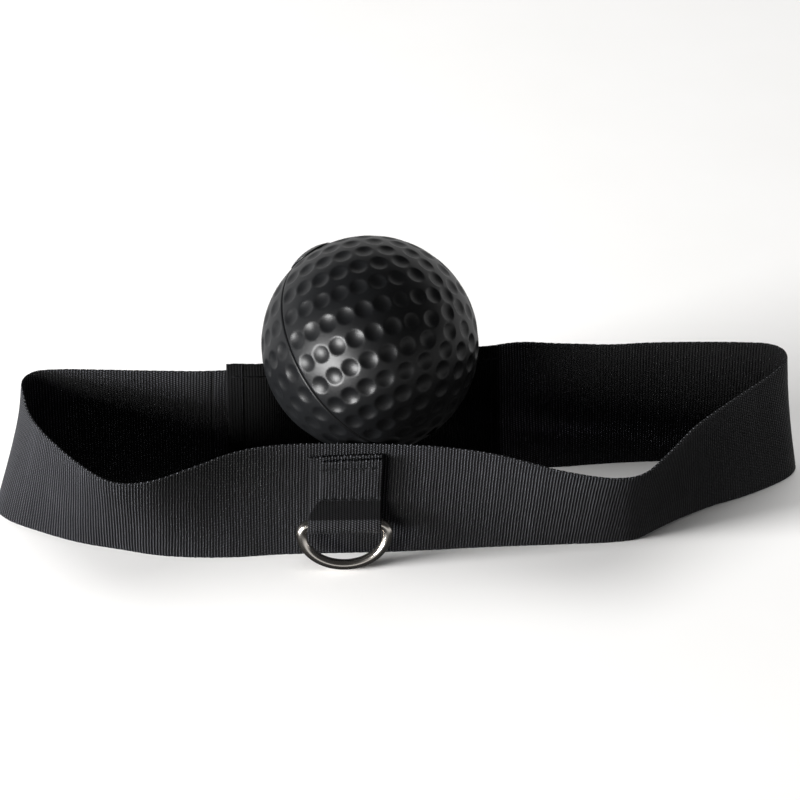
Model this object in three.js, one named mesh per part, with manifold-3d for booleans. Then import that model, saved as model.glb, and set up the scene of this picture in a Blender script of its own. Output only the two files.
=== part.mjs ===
// Reflex ball headband: a webbing band standing on its edge, closed behind with hook-and-loop tape,
// with a D-ring in a sewn tab on its front and a dimpled foam ball resting on its upper edges.
// Millimetres, +Z up, the wearer's front towards -Y. The origin is the middle of the base.
import * as THREE from 'three';
import { mergeVertices } from 'three/addons/utils/BufferGeometryUtils.js';
import Module from 'manifold-3d';

const wasm = await Module();
wasm.setup();

// Driving dimensions
const gap = 0.3; // between pieces that touch
const band = { width: 38, thickness: 1, step: 2.4, innerEndLift: 4, liftLength: 28 };
const flap = { pitch: 3.9 }; // from the inner end's middle to the flap's middle
const tape = { thickness: 0.8, margin: 1.5, hookLength: 50, loopLength: 78.5, endMargin: 2 };
const thread = { width: 0.7, thickness: 0.4, inset: 2 };
const tab = { width: 19.6, thickness: 1, centreX: -15.6, top: 35.2, frontTop: 34.4, fold: 20 };
const tabSeam = { from: -7, to: 5, upper: 32, lower: 20.9 };
const ring = { innerWidth: 20.4, wire: 2.9, drop: 11.9, corner: 2.5, height: 13.2, reach: 4.3, lean: 11 };
const ball = { radius: 29.5, centre: [-8.1, -7.25, 52.75], partingOffset: -3.5 };
const partingNormal = new THREE.Vector3(0.7, -0.244, 0.671).normalize();
const cord = { bore: 2.5, direction: new THREE.Vector3(-0.5545, 0.567, 0.618).normalize() };
const stop = { radius: 6.5, rim: 0.35, proud: 1.3, stemRadius: 2.1, stemLength: 9 };

// The band's plan. Each row is [foot x, foot y, head x, head y]: the lower and the upper edge at one
// place along the webbing. The loop runs from the flap's hinge round the front to the inner end.
const loopPlan = [
  [-53, -1.2, -53, 2.6], [-66, -0.8, -66, 2.6], [-83, -0.5, -83, 3.2], [-97, -0.5, -94.5, 3.4],
  [-106, -1, -101, 2.2], [-112, -4.5, -104, -2], [-113, -9.5, -103, -8.8], [-109.4, -14.8, -99.6, -19.1],
  [-99.9, -20.5, -94.4, -28.4], [-88.3, -25.8, -84.8, -39.7], [-77, -29, -76, -45.8],
  [-66, -31.8, -66, -46.7], [-55, -32.8, -54.5, -42.8], [-44, -32.6, -43.5, -37.3], [-33, -31.4, -33, -34.4],
  [0, -30, 0, -33.8], [22, -28.1, 22, -36.4], [44, -26.7, 44, -42.2], [59, -25.6, 58.5, -43.6],
  [65, -24.2, 65.3, -41.6], [71, -19.6, 71.7, -34.2], [78, -14.3, 80.2, -22.3], [88, -8, 88.5, -13.4],
  [96, -4.1, 96.8, -4.6], [105.6, 1.9, 104, 3.5], [111.3, 6.9, 108, 10], [113, 11, 107.3, 14],
  [110.5, 15, 103.5, 16.6], [104, 16.2, 97, 17.3], [95, 15.6, 90, 17.6], [71, 14, 71, 17.4],
  [59, 13, 59, 16.4],
];
const innerEndPlan = [
  [45, 11.2, 45, 17.6], [34, 10.8, 34, 18.8], [22, 11, 22, 15.5], [8, 12.2, 8, 18.9],
  [-8, 12, -8, 19.5], [-25, 6.2, -25, 13.7], [-38, -2.8, -38, 1.6], [-47.8, -4.8, -47.8, -0.6],
];
const flapFirst = 3; // the flap's free end lies over this row of the inner end

const material = (color, roughness, metalness = 0) =>
  new THREE.MeshStandardMaterial({ color, roughness, metalness });
const webbing = material(0x141518, 0.75);
const tapeFace = material(0x0e0e10, 0.95);
const sewing = material(0x1b1c20, 0.6);
const nickel = material(0xb9b6b0, 0.25, 1);
const foam = material(0x1c1d20, 0.5);
const moulded = material(0x121214, 0.4);

// Rows moved outwards by a distance, square to the line through their neighbours
function offsetRows(rows, distance) {
  const shift = (i, column) => {
    const before = rows[Math.max(i - 1, 0)];
    const after = rows[Math.min(i + 1, rows.length - 1)];
    const dx = after[column] - before[column];
    const dy = after[column + 1] - before[column + 1];
    const length = Math.hypot(dx, dy);
    return [rows[i][column] + (dy / length) * distance, rows[i][column + 1] - (dx / length) * distance];
  };
  return rows.map((row, i) => [...shift(i, 0), ...shift(i, 2)]);
}

const flapPlan = offsetRows(innerEndPlan, flap.pitch).slice(flapFirst, -1);
const path = [...flapPlan, ...loopPlan, ...innerEndPlan];

function edgeCurve(column) {
  const points = path.map((row) => new THREE.Vector3(row[column], row[column + 1], 0));
  const curve = new THREE.CatmullRomCurve3(points, false, 'centripetal');
  curve.arcLengthDivisions = 3000;
  return curve;
}
const footCurve = edgeCurve(0);
const headCurve = edgeCurve(2);
const pathLength = footCurve.getLength();

// Distance along the path at which the foot curve passes a point of the plan
function distanceAt(x, y) {
  const target = new THREE.Vector3(x, y, 0);
  const samples = Array.from({ length: 3001 }, (_, i) => i / 3000);
  const nearest = samples.reduce((best, u) => {
    const away = footCurve.getPointAt(u).distanceTo(target);
    return away < best.away ? { u, away } : best;
  }, { u: 0, away: Infinity });
  return nearest.u * pathLength;
}
const hingeAt = distanceAt(...loopPlan[0]);
const innerEndAt = pathLength;
const tabAt = distanceAt(tab.centreX, -30.7);

// The webbing's own axes at a distance along it: foot point, up its width, outwards and along
function frameAt(distance) {
  const u = THREE.MathUtils.clamp(distance / pathLength, 0, 1);
  const origin = footCurve.getPointAt(u);
  const lean = headCurve.getPointAt(u).sub(origin);
  const up = new THREE.Vector3(lean.x, lean.y, Math.sqrt(band.width ** 2 - lean.lengthSq()));
  up.normalize();
  const along = footCurve.getTangentAt(u);
  const out = new THREE.Vector3(along.y, -along.x, 0);
  const liftFrom = innerEndAt - band.liftLength;
  const lift = band.innerEndLift * THREE.MathUtils.smoothstep(distance, liftFrom, innerEndAt);
  return { origin: origin.addScaledVector(up, lift), up, out, along };
}

// A closed body swept by a section of [outwards, up] points through a row of frames
function sweep(section, frames, endless = false) {
  const place = ({ origin, up, out }) => section.map(([a, b]) =>
    origin.clone().addScaledVector(out, a).addScaledVector(up, b));
  const rings = frames.map(place);
  const count = section.length;
  const index = [];
  const spans = endless ? rings.length : rings.length - 1;
  for (let i = 0; i < spans; i += 1) {
    const here = i * count;
    const next = ((i + 1) % rings.length) * count;
    for (let j = 0; j < count; j += 1) {
      const k = (j + 1) % count;
      index.push(here + j, next + k, next + j, here + j, here + k, next + k);
    }
  }
  if (!endless) {
    const flat = section.map(([a, b]) => new THREE.Vector2(a, b));
    const last = (rings.length - 1) * count;
    for (const [a, b, c] of THREE.ShapeUtils.triangulateShape(flat, [])) {
      index.push(a, b, c, last + c, last + b, last + a);
    }
  }
  const geometry = new THREE.BufferGeometry();
  const positions = rings.flat().flatMap((p) => p.toArray());
  geometry.setAttribute('position', new THREE.Float32BufferAttribute(positions, 3));
  geometry.setIndex(index);
  geometry.computeVertexNormals();
  return geometry;
}

// A strip of the band's surface: a stretch of its length, of its width, and of the depth outwards
function strip([from, to], [low, high], [inner, outer]) {
  const section = [[inner, low], [inner, high], [outer, high], [outer, low]];
  const steps = Math.max(1, Math.round((to - from) / band.step));
  const frames = Array.from({ length: steps + 1 }, (_, i) => frameAt(from + ((to - from) * i) / steps));
  return sweep(section, frames);
}

const group = new THREE.Group();
function add(name, geometry, look) {
  const mesh = new THREE.Mesh(geometry, look);
  mesh.name = name;
  group.add(mesh);
  return mesh;
}

// Webbing: one length, parted by a hair at the line where the outer end lifts off
const half = band.thickness / 2;
const depth = [-half, half];
add('headband_webbing', strip([hingeAt + gap / 2, innerEndAt], [0, band.width], depth), webbing);
add('closure_flap_webbing', strip([0, hingeAt - gap / 2], [0, band.width], depth), webbing);

// Hook tape inside the flap, loop tape outside the inner end, each with a frame of stitches
const hookSpan = [tape.endMargin, tape.endMargin + tape.hookLength];
const loopSpan = [innerEndAt - tape.endMargin - tape.loopLength, innerEndAt - tape.endMargin];
const tapeWidth = [tape.margin, band.width - tape.margin];
const tapeDepth = [half + gap, half + gap + tape.thickness];
const otherSide = ([near, far]) => [-far, -near];
add('hook_tape', strip(hookSpan, tapeWidth, otherSide(tapeDepth)), tapeFace);
add('loop_tape', strip(loopSpan, tapeWidth, tapeDepth), tapeFace);

// Rows of thread lie on the webbing's bare side, along both long edges and across both ends
function stitchFrame(name, [from, to], depthRange) {
  const rows = {
    upper: [[from, to], band.width - tape.margin - thread.inset],
    lower: [[from, to], tape.margin + thread.inset],
  };
  for (const [row, [span, height]] of Object.entries(rows)) {
    const rise = [height - thread.width / 2, height + thread.width / 2];
    add(`${name}_stitches_${row}`, strip(span, rise, depthRange), sewing);
  }
  const between = [tape.margin + thread.inset + 1, band.width - tape.margin - thread.inset - 1];
  const ends = { first: from + thread.inset, last: to - thread.inset };
  for (const [end, at] of Object.entries(ends)) {
    const span = [at - thread.width / 2, at + thread.width / 2];
    add(`${name}_stitches_${end}`, strip(span, between, depthRange), sewing);
  }
}
const threadDepth = [half + gap, half + gap + thread.thickness];
stitchFrame('hook', hookSpan, threadDepth);
stitchFrame('loop', loopSpan, otherSide(threadDepth));

// Ring tab: webbing folded round the ring's bar, its two layers sewn flat on the band
const backDepth = half + gap + tab.thickness / 2;
const frontDepth = backDepth + tab.thickness + gap;
const bendRadius = ring.wire / 2 + gap + tab.thickness / 2;

// Angle round the bar at which a straight run from a layer at the fold meets the bend
function tangentAngle(layerDepth, side) {
  const away = new THREE.Vector2(layerDepth - ring.reach, tab.fold - ring.height);
  return away.angle() + side * Math.acos(bendRadius / away.length());
}
function tabSection() {
  const start = tangentAngle(backDepth, 1);
  const end = tangentAngle(frontDepth, -1) + 2 * Math.PI;
  const bends = 14;
  const line = [[backDepth, tab.top], [backDepth, tab.fold]];
  for (let i = 0; i <= bends; i += 1) {
    const angle = start + ((end - start) * i) / bends;
    line.push([ring.reach + bendRadius * Math.cos(angle), ring.height + bendRadius * Math.sin(angle)]);
  }
  line.push([frontDepth, tab.fold], [frontDepth, tab.frontTop]);
  const points = line.map(([a, b]) => new THREE.Vector2(a, b));
  const side = (i, distance) => {
    const before = points[Math.max(i - 1, 0)];
    const after = points[Math.min(i + 1, points.length - 1)];
    const run = after.clone().sub(before).normalize();
    return [points[i].x + run.y * distance, points[i].y - run.x * distance];
  };
  const left = points.map((_, i) => side(i, tab.thickness / 2));
  const right = points.map((_, i) => side(i, -tab.thickness / 2)).reverse();
  return [...left, ...right];
}
const tabSteps = 5;
const tabFrames = Array.from({ length: tabSteps + 1 }, (_, i) =>
  frameAt(tabAt + (i / tabSteps - 0.5) * tab.width));
add('ring_tab', sweep(tabSection().reverse(), tabFrames), webbing);
const tabThread = frontDepth + tab.thickness / 2 + gap;
for (const row of ['upper', 'lower']) {
  const rise = [tabSeam[row] - thread.width / 2, tabSeam[row] + thread.width / 2];
  const span = [tabAt + tabSeam.from, tabAt + tabSeam.to];
  add(`tab_stitches_${row}`, strip(span, rise, [tabThread, tabThread + thread.thickness]), sewing);
}

// D-ring: round wire, a straight bar in the tab's fold and an elliptical bow hanging from it
const tabFrame = frameAt(tabAt);
const barCentre = tabFrame.origin.clone().addScaledVector(tabFrame.up, ring.height)
  .addScaledVector(tabFrame.out, ring.reach);
function ringOutline() {
  const reach = (ring.innerWidth + ring.wire) / 2;
  const { corner, drop } = ring;
  const outline = new THREE.Path();
  outline.moveTo(-reach + corner, 0).lineTo(reach - corner, 0);
  outline.absarc(reach - corner, -corner, corner, Math.PI / 2, 0, true);
  outline.absellipse(0, -corner, reach, drop - corner, 0, -Math.PI, true);
  outline.absarc(-reach + corner, -corner, corner, Math.PI, Math.PI / 2, true);
  return outline;
}
function ringGeometry() {
  const outline = ringOutline();
  const stations = 56;
  const sides = 12;
  const bow = tabFrame.out.clone().multiplyScalar(Math.sin(THREE.MathUtils.degToRad(ring.lean)));
  bow.z = -Math.cos(THREE.MathUtils.degToRad(ring.lean));
  const across = tabFrame.along;
  const face = new THREE.Vector3().crossVectors(across, bow).normalize();
  const frames = Array.from({ length: stations }, (_, i) => {
    const at = outline.getPointAt(i / stations);
    const run = outline.getTangentAt(i / stations);
    const along = across.clone().multiplyScalar(run.x).addScaledVector(bow, -run.y);
    const origin = barCentre.clone().addScaledVector(across, at.x).addScaledVector(bow, -at.y);
    return { origin, out: face, up: new THREE.Vector3().crossVectors(face, along) };
  });
  const section = Array.from({ length: sides }, (_, i) => {
    const angle = (-2 * Math.PI * (i + 0.5)) / sides;
    return [(ring.wire / 2) * Math.cos(angle), (ring.wire / 2) * Math.sin(angle)];
  });
  return sweep(section, frames, true);
}
add('d_ring', ringGeometry(), nickel);

// Solid booleans
function toSolid(geometry) {
  const bare = geometry.clone();
  bare.deleteAttribute('normal');
  bare.deleteAttribute('uv');
  const merged = mergeVertices(bare, 1e-4);
  return new wasm.Manifold(new wasm.Mesh({
    numProp: 3,
    vertProperties: new Float32Array(merged.attributes.position.array),
    triVerts: new Uint32Array(merged.index.array),
  }));
}
function toGeometry(solid) {
  const { vertProperties, triVerts } = solid.getMesh();
  const geometry = new THREE.BufferGeometry();
  geometry.setAttribute('position', new THREE.BufferAttribute(vertProperties, 3));
  geometry.setIndex(new THREE.BufferAttribute(triVerts, 1));
  geometry.computeVertexNormals();
  return geometry;
}

// A turned piece about a direction through the ball's centre; heights are measured from that centre
const ballCentre = new THREE.Vector3(...ball.centre);
function turned(profile, direction, segments) {
  const geometry = new THREE.LatheGeometry(profile.map(([r, y]) => new THREE.Vector2(r, y)), segments);
  geometry.applyQuaternion(new THREE.Quaternion().setFromUnitVectors(new THREE.Vector3(0, 1, 0), direction));
  return geometry.translate(...ballCentre.toArray());
}
// Points on a circle about the centre, from one height to another
function arcProfile(radius, fromHeight, toHeight, steps) {
  const from = Math.asin(fromHeight / radius);
  const to = Math.asin(toHeight / radius);
  return Array.from({ length: steps + 1 }, (_, i) => {
    const angle = from + ((to - from) * i) / steps;
    return [Math.max(0, radius * Math.cos(angle)), radius * Math.sin(angle)];
  });
}

// Ball: two foam mouldings bonded at the parting line, with the cord's hole right through both
const bore = new THREE.CylinderGeometry(cord.bore, cord.bore, 3 * ball.radius, 24);
bore.applyQuaternion(new THREE.Quaternion().setFromUnitVectors(new THREE.Vector3(0, 1, 0), cord.direction));
bore.translate(...ballCentre.toArray());
function ballPart(name, sign) {
  const cut = sign * ball.partingOffset + gap / 2;
  const arc = arcProfile(ball.radius, cut, ball.radius, 13);
  arc[arc.length - 1][0] = 0;
  const solid = turned([[0, cut], ...arc], partingNormal.clone().multiplyScalar(sign), 40);
  add(name, toGeometry(toSolid(solid).subtract(toSolid(bore))), foam);
}
ballPart('ball_moulding_right', 1);
ballPart('ball_moulding_left', -1);

// Cord stop: a button whose stem plugs the upper end of the cord's hole
const seat = ball.radius + gap;
const seatHeight = (r) => Math.sqrt(seat ** 2 - r ** 2);
const seatArc = arcProfile(seat, seatHeight(stop.stemRadius), seatHeight(stop.radius), 5);
const rimHeight = seatHeight(stop.radius) + stop.rim;
const crown = [0.75, 0.45].map((share) => {
  const rise = (ball.radius + stop.proud - rimHeight) * (1 - share ** 2);
  return [stop.radius * share, rimHeight + rise];
});
const stopProfile = [
  [0, ball.radius - stop.stemLength], [stop.stemRadius, ball.radius - stop.stemLength],
  ...seatArc, [stop.radius, rimHeight], ...crown, [0, ball.radius + stop.proud],
];
add('cord_stop', turned(stopProfile, cord.direction, 24), moulded);

// The origin goes to the middle of the base
const box = new THREE.Box3().setFromObject(group);
const middle = box.getCenter(new THREE.Vector3());
group.position.set(-middle.x, -middle.y, -box.min.z);

export default group;
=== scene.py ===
"""Reflex ball headband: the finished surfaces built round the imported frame, laid out as an add-on."""

import math

import bmesh
import bpy
import numpy as np
from bpy.props import FloatProperty, FloatVectorProperty, IntProperty, PointerProperty, StringProperty
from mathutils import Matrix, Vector


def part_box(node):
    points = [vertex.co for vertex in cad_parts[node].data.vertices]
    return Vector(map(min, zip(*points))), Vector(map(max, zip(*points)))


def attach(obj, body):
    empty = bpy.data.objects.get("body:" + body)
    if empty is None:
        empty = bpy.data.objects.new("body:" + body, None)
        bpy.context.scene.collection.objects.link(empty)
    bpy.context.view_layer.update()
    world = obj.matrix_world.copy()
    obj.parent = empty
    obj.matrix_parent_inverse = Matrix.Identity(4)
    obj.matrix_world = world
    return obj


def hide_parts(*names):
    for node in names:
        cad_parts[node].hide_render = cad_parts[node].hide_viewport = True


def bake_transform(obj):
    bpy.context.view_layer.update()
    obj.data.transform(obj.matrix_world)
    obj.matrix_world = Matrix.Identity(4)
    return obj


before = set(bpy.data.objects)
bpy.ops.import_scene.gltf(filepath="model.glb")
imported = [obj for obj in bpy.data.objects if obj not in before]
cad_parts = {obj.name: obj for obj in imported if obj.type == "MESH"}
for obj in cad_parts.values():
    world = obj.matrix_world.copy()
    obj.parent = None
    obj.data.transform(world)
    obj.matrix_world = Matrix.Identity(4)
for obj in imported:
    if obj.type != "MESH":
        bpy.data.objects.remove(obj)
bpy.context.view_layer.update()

bl_info = {
    "name": "Reflex Ball Headband",
    "version": (1, 0, 0),
    "blender": (4, 5, 0),
    "location": "View3D > Sidebar > Headband",
    "description": "Builds a webbing headband with a D-ring and a dimpled foam ball",
    "category": "Object",
}

MM = 0.001
HALF_GAP = 0.15 * MM  # half the gap between CAD bodies that are one length of webbing

EDGE_PITCH, EDGE_BITE = 2.4 * MM, 0.12 * MM  # scallops along a woven edge: length and depth
BEND_LENGTH = 11 * MM  # length of the flap's last stretch before its hinge
TAPE_STEP, TAPE_MARGIN = 1.2 * MM, 1.6 * MM  # a tape's mesh faces, and its edge bare of hooks or loops
FIRST_DIMPLE = (-0.367, -0.6, 0.55)  # way from the ball's middle to the dimple that each ring starts from
STOP_RADIUS, STEM_RADIUS, STEM_LENGTH = 6.5 * MM, 2.1 * MM, 9 * MM  # the cord's stop
RING_INNER_WIDTH, RING_DROP, RING_LEAN = 20.4 * MM, 11.9 * MM, math.radians(11)

NOISE, MIX, RANGE = "ShaderNodeTexNoise", "ShaderNodeMix", "ShaderNodeMapRange"
MATH, VECTOR, BUMP = "ShaderNodeMath", "ShaderNodeVectorMath", "ShaderNodeBump"


# ---------------------------------------------------------------- sizes and colours


def length_setting(name, description, default, **more):
    return FloatProperty(name=name, description=description, default=default, unit="LENGTH", **more)


def colour_setting(name, description, default):
    return StringProperty(name=name, description=description + ", sRGB hex", default=default)


class WebbingSettings(bpy.types.PropertyGroup):
    """The band's and the tab's webbing."""

    thickness: length_setting("Thickness", "Thickness of the woven band", 1.0 * MM)
    tab_thickness: length_setting("Tab thickness", "Thickness of the tab's webbing", 0.9 * MM)
    selvedge: length_setting("Selvedge", "Width of the tight woven edge", 1.3 * MM)
    rib_pitch: length_setting(
        "Rib pitch", "Distance from one crosswise rib to the next", 0.8 * MM, precision=5)
    yarn_pitch: length_setting("Yarn pitch", "Distance between lengthwise yarns", 0.6 * MM, precision=5)
    step: length_setting("Step", "Length of one mesh face along the band", 0.9 * MM)
    # painted highlight: the crest colour, far lighter than the black yarn, stands for the sheen on the ribs'
    # crests; the valley colour below is painted shade
    colour: colour_setting("Colour", "Dyed polyester yarn on a rib's crest", "#5E5F64")
    shade: colour_setting("Shade", "Yarn in the valleys between ribs", "#010102")
    # painted dark colour: painted shade on the tab's stretch below its lower seam, and the band's end
    # stretch over the loop tape painted darker
    darkened: colour_setting(
        "Darkened colour", "Darker, rougher webbing where a tape is sewn behind it", "#020203")


class TapeSettings(bpy.types.PropertyGroup):
    """The hook tape and the loop tape."""

    hook_pitch: length_setting("Hook pitch", "Distance between hooks", 1.7 * MM)
    hook_height: length_setting("Hook height", "Height of a hook above its tape", 0.45 * MM)
    loop_pitch: length_setting("Loop pitch", "Distance between brushed loops", 1.3 * MM)
    seed: IntProperty(name="Seed", description="Seed of the loops' scatter", default=7)
    colour: colour_setting("Colour", "Dyed nylon tape", "#101114")


class ThreadSettings(bpy.types.PropertyGroup):
    """Sewing thread."""

    pitch: length_setting("Stitch length", "From one needle hole to the next", 2.6 * MM)
    width: length_setting("Thread width", "Diameter of the thread", 0.42 * MM)
    colour: colour_setting("Colour", "Dyed polyester thread", "#08080A")


class RingSettings(bpy.types.PropertyGroup):
    """The D-ring."""

    wire: length_setting("Wire", "Diameter of the wire", 2.9 * MM)
    corner: length_setting("Corner", "Radius of the bend at each shoulder", 2.5 * MM)
    colour: colour_setting("Colour", "Nickel plate", "#E2DCD4")


class BallSettings(bpy.types.PropertyGroup):
    """The foam ball and its stop."""

    parting_normal: FloatVectorProperty(
        name="Parting direction", description="Square to the plane of the parting line",
        default=(0.7, -0.244, 0.671), subtype="DIRECTION")
    parting_offset: length_setting(
        "Parting offset", "Parting plane's distance from the middle", -3.5 * MM)
    cord_direction: FloatVectorProperty(
        name="Cord direction", description="Direction of the cord's hole towards its stop",
        default=(-0.5545, 0.567, 0.618), subtype="DIRECTION")
    bore: length_setting("Bore", "Radius of the cord's hole", 2.5 * MM)
    dimple_radius: length_setting("Dimple radius", "Radius of a dimple's rim", 2.45 * MM)
    dimple_depth: length_setting("Dimple depth", "Depth of a dimple", 0.62 * MM)
    dimple_pitch: length_setting("Dimple pitch", "Distance between dimples in a ring", 6.8 * MM)
    ring_pitch: length_setting("Ring pitch", "Distance between rings of dimples", 5.4 * MM)
    first_ring: length_setting("First ring", "Distance from the parting line to the first ring", 3.3 * MM)
    groove: length_setting("Groove", "Half width and depth of the parting groove", 0.4 * MM, precision=5)
    segments: IntProperty(name="Segments", description="Mesh faces round the ball", default=480)
    colour: colour_setting("Colour", "Moulded foam skin", "#0B0C0D")


class StageSettings(bpy.types.PropertyGroup):
    """Camera, floor and light."""

    elevation: FloatProperty(
        name="Elevation", description="Camera's angle above the floor",
        default=math.radians(33), subtype="ANGLE")
    distance: length_setting("Distance", "Camera's distance from what it aims at", 0.8)
    aim: FloatVectorProperty(
        name="Aim", description="Point that the camera looks at",
        default=(0.00008, 0.01155, 0.03), subtype="XYZ", unit="LENGTH")
    frame_width: length_setting("Frame width", "Width of the view at the aim point", 0.2222)
    floor_colour: colour_setting("Floor colour", "Matt paper floor", "#F4F3F1")


# ---------------------------------------------------------------- helpers


def linear(code):
    """sRGB hex to linear red, green, blue and alpha."""
    parts = [int(code[i:i + 2], 16) / 255 for i in (1, 3, 5)]
    return [c / 12.92 if c <= 0.04045 else ((c + 0.055) / 1.055) ** 2.4 for c in parts] + [1.0]


def fill(tree, node, inputs):
    """Links or sets a node's inputs by name or number; a node as a value stands for its first output."""
    for name, value in inputs.items():
        if isinstance(value, bpy.types.Node):
            value = value.outputs[0]
        if isinstance(value, bpy.types.NodeSocket):
            tree.links.new(value, node.inputs[name])
        else:
            node.inputs[name].default_value = value
    return node


def add_node(tree, kind, inputs=None, **settings):
    """Adds a node, sets its properties, and fills or links its inputs."""
    node = tree.nodes.new(kind)
    for name, value in settings.items():
        setattr(node, name, value)
    return fill(tree, node, inputs or {})


def new_material(name):
    """An empty node material with its Principled surface; returns material, tree and shader."""
    material = bpy.data.materials.new(name)
    material.use_nodes = True
    tree = material.node_tree
    tree.nodes.clear()
    shader = add_node(tree, "ShaderNodeBsdfPrincipled")
    add_node(tree, "ShaderNodeOutputMaterial", {"Surface": shader.outputs["BSDF"]})
    return material, tree, shader


def new_object(name, data):
    piece = bpy.data.objects.new(name, data)
    bpy.context.scene.collection.objects.link(piece)
    return piece


def new_piece(name, vertices, faces, material, uv=None, smooth=True):
    """A mesh object at the origin; uv is one (u, v) for each face corner, in the faces' order."""
    mesh = bpy.data.meshes.new(name)
    mesh.from_pydata([tuple(v) for v in vertices], [], faces)
    if uv is not None:
        layer = mesh.uv_layers.new(name="weave")
        layer.data.foreach_set("uv", np.asarray(uv, np.float32).ravel())
    mesh.materials.append(material)
    mesh.polygons.foreach_set("use_smooth", [smooth] * len(mesh.polygons))
    mesh.update()
    return new_object(name, mesh)


def baked(piece, name, material=None):
    """The piece with its modifiers applied, as a plain mesh object of that name."""
    depsgraph = bpy.context.evaluated_depsgraph_get()
    mesh = bpy.data.meshes.new_from_object(piece.evaluated_get(depsgraph))
    mesh.name = name
    bpy.data.objects.remove(piece)
    if material is not None:
        mesh.materials.clear()
        mesh.materials.append(material)
    return new_object(name, mesh)


def finish_piece(piece, body, slot, *nodes):
    """Says which CAD nodes the piece stands for and which body carries it; its finish (slot) is not used."""
    if nodes:
        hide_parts(*nodes)
    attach(piece, body)
    return piece


# ---------------------------------------------------------------- strips of webbing


def points_of(node):
    """A CAD body's corner points, each once."""
    return np.unique(np.round([v.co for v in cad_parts[node].data.vertices], 7), axis=0)


def gaps_between(points):
    gaps = np.linalg.norm(points[:, None] - points[None], axis=2)
    np.fill_diagonal(gaps, np.inf)
    return gaps


def chained(points, near):
    """Points put in order along their path, from the one next to the point near."""
    left = list(points)
    here = min(left, key=lambda p: np.linalg.norm(p[:2] - np.array(near)[:2]))
    line = []
    while left:
        nearest = min(range(len(left)), key=lambda i: np.linalg.norm(left[i] - here))
        here = left.pop(nearest)
        line.append(here)
    return np.array(line)


def edge_line(points, near):
    """The line midway between a strip's two long edges on one side, and their distance apart."""
    gaps = gaps_between(points)
    thickness = float(np.median(gaps.min(axis=1)))
    partner = np.abs(gaps - thickness).argmin(axis=1)
    if (partner[partner] != np.arange(len(points))).any():
        raise RuntimeError("a strip's edges don't pair up across its thickness")
    first = np.arange(len(points)) < partner
    return chained((points[first] + points[partner[first]]) / 2, near), thickness


def smooth_line(points, at):
    """Catmull-Rom values of a row of points at fractional places along it."""
    last = len(points) - 1
    padded = np.vstack([2 * points[0] - points[1], points, 2 * points[-1] - points[-2]])
    at = np.clip(np.asarray(at, float), 0, last)
    i = np.minimum(at.astype(int), last - 1)
    t = (at - i)[:, None]
    a, b, c, d = (padded[i + k] for k in range(4))
    return 0.5 * (2 * b + (c - a) * t + (2 * a - 5 * b + 4 * c - d) * t**2
                  + (3 * b - a - 3 * c + d) * t**3)


def first_end(node):
    """Where a lengthwise strip begins: its right-hand end, at the back."""
    _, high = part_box(node)
    return Vector((high.x, high.y, 0))


def run_along(points):
    """Distance of each point of a line from the first."""
    return np.concatenate([[0], np.cumsum(np.linalg.norm(np.diff(points, axis=0), axis=1))])


class Strip:
    """A webbing strip's middle surface: points at a distance along, a height and a depth outwards."""

    def __init__(self, node, near_foot=None, near_head=None):
        points = points_of(node)
        upper = points[:, 2] > points[:, 2].mean()
        start = first_end(node)
        self.foot, self.thickness = edge_line(points[~upper], start if near_foot is None else near_foot)
        self.head, _ = edge_line(points[upper], start if near_head is None else near_head)
        heights = np.linalg.norm(self.head - self.foot, axis=1)
        if np.ptp(heights) > 1 * MM:
            raise RuntimeError(f"the long edges of {node} are out of step")
        self.distance = run_along(self.foot)
        self.length = self.distance[-1]
        self.width = float(np.mean(heights))

    def axes(self, distance):
        """Foot point, unit up and unit outward at distances along the strip."""
        place = np.interp(distance, self.distance, np.arange(len(self.foot)))
        # a little past either end, the strip runs straight on
        past = np.asarray(distance) - np.clip(distance, 0, self.length)
        foot = smooth_line(self.foot, place)
        up = smooth_line(self.head, place) - foot
        up /= np.linalg.norm(up, axis=1)[:, None]
        ahead = smooth_line(self.foot, place + 0.25) - smooth_line(self.foot, place - 0.25)
        ahead[:, 2] = 0
        ahead /= np.linalg.norm(ahead, axis=1)[:, None]
        out = np.stack([ahead[:, 1], -ahead[:, 0], np.zeros(len(ahead))], axis=1)
        return foot + ahead * past[:, None], up, out

    def axes_at(self, distance):
        """The same at one distance."""
        return (row[0] for row in self.axes(np.array([distance])))

    def points(self, distance, height, depth):
        """Points for arrays of the same shape: one row for each distance."""
        foot, up, out = self.axes(distance[:, 0])
        return (foot[:, None, :] + up[:, None, :] * height[:, :, None]
                + out[:, None, :] * depth[:, :, None])


def grid_faces(rows, columns, endless=False):
    """Quads between the rows of a grid whose columns join round on themselves."""
    faces = []
    for i in range(rows if endless else rows - 1):
        here, following = i * columns, ((i + 1) % rows) * columns
        for j in range(columns):
            k = (j + 1) % columns
            faces.append((here + j, here + k, following + k, following + j))
    return faces


def tube_faces(rows, columns):
    """The grid's quads and a flat cap at each end."""
    last = (rows - 1) * columns
    caps = [tuple(reversed(range(columns))), tuple(range(last, last + columns))]
    return grid_faces(rows, columns) + caps


def woven_section(width, thickness, selvedge):
    """(height, depth) round a piece of webbing: flat faces, a thinner neck beside each selvedge bead
    and rounded edges. It runs up the inner face and down the outer one."""
    half = thickness / 2
    profile = [
        (0.0, 0.30), (0.10, 0.62), (0.30, 0.88), (0.6, 0.98), (0.85, 0.9), (1.0, 0.82), (1.2, 0.92),
        (1.6, 1.0),
    ]
    edge = [(share * selvedge, depth * half) for share, depth in profile]
    flats = [(width * f, half) for f in np.linspace(0.09, 0.91, 15)]
    face = edge + flats + [(width - h, d) for h, d in reversed(edge)]
    return [(h, -d) for h, d in face] + [(h, d) for h, d in reversed(face)]


def section_grid(section, rows):
    """Heights and depths of a section's points, once for each row."""
    return [np.array(column)[None, :].repeat(rows, 0) for column in zip(*section)]


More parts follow.
